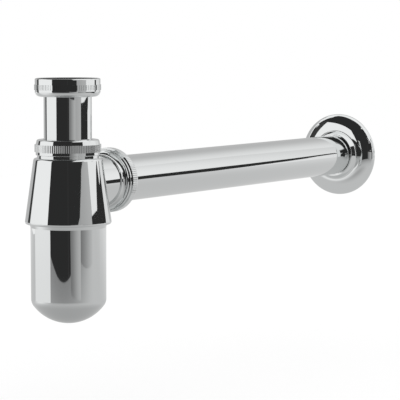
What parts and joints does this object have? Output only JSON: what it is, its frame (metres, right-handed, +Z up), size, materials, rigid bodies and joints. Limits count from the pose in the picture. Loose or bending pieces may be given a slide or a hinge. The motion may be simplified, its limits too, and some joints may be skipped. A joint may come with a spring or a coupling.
{
  "type": "bottle trap",
  "caption": "Chromed washbasin bottle trap: a knurled inlet nut and dip tube above a conical body, a screw-on cup and a long horizontal outlet tube with a wall flange.",
  "frame": {"origin": "centre of the inlet nut's mouth", "axes": "+Z up along the bottle's axis, +Y along the outlet tube towards the wall"},
  "size_m": [0.0664, 0.436, 0.1638],
  "materials": {
    "chrome": "polished",
    "rubber": "matte",
    "nylon": "matte"
  },
  "bodies": {
    "inlet_nut": {"inlet_nut": "chrome"},
    "inlet_tube": {"inlet_tube": "chrome", "inlet_gasket": "rubber"},
    "trap_body": {"trap_body": "chrome", "clamp_seal": "rubber", "outlet_seal": "rubber"},
    "clamp_slip_ring": {"clamp_slip_ring": "nylon"},
    "clamp_nut": {"clamp_nut": "chrome"},
    "outlet_slip_ring": {"outlet_slip_ring": "nylon"},
    "outlet_nut": {"outlet_nut": "chrome"},
    "cup_seal": {"cup_seal": "rubber"},
    "cup": {"cup": "chrome"},
    "outlet_tube": {"outlet_tube": "chrome"},
    "wall_flange": {"wall_flange": "chrome"}
  },
  "joints": [
    {"name": "swivel", "type": "hinge", "parent": "inlet_nut", "child": "inlet_tube", "pos_m": [0, 0, 0], "axis": [0, 0, 1], "continuous": true},
    {"name": "height", "type": "slide", "parent": "inlet_tube", "child": "trap_body", "axis": [0, 0, 1], "range_m": [-0.02, 0.014]},
    {"name": "clamp_lift", "type": "slide", "parent": "trap_body", "child": "clamp_slip_ring", "axis": [0, 0, 1], "range_m": [0, 0.00695]},
    {"name": "clamp_turn", "type": "hinge", "parent": "clamp_slip_ring", "child": "clamp_nut", "pos_m": [0, 0, -0.0463], "axis": [0, 0, 1], "range_deg": [0, 1080]},
    {"name": "outlet_lift", "type": "slide", "parent": "trap_body", "child": "outlet_slip_ring", "axis": [0, 1, 0], "range_m": [0, 0.00695]},
    {"name": "outlet_turn", "type": "hinge", "parent": "outlet_slip_ring", "child": "outlet_nut", "pos_m": [0, 0.048, -0.0707], "axis": [0, 1, 0], "range_deg": [0, 1080]},
    {"name": "cup_drop", "type": "slide", "parent": "trap_body", "child": "cup_seal", "axis": [0, 0, -1], "range_m": [0, 0.0081]},
    {"name": "cup_turn", "type": "hinge", "parent": "cup_seal", "child": "cup", "pos_m": [0, 0, -0.0926], "axis": [0, 0, -1], "range_deg": [0, 1260]},
    {"name": "outlet_reach", "type": "slide", "parent": "trap_body", "child": "outlet_tube", "axis": [0, 1, 0], "range_m": [-0.005, 0.01]},
    {"name": "flange_slide", "type": "slide", "parent": "outlet_tube", "child": "wall_flange", "axis": [0, 1, 0], "range_m": [-0.3, 0.015]}
  ],
  "couplings": [
    {"joint": "clamp_lift", "follows": "clamp_turn", "m_per_rad": 0.00036749},
    {"joint": "outlet_lift", "follows": "outlet_turn", "m_per_rad": 0.00036749},
    {"joint": "cup_drop", "follows": "cup_turn", "m_per_rad": 0.00036749}
  ]
}
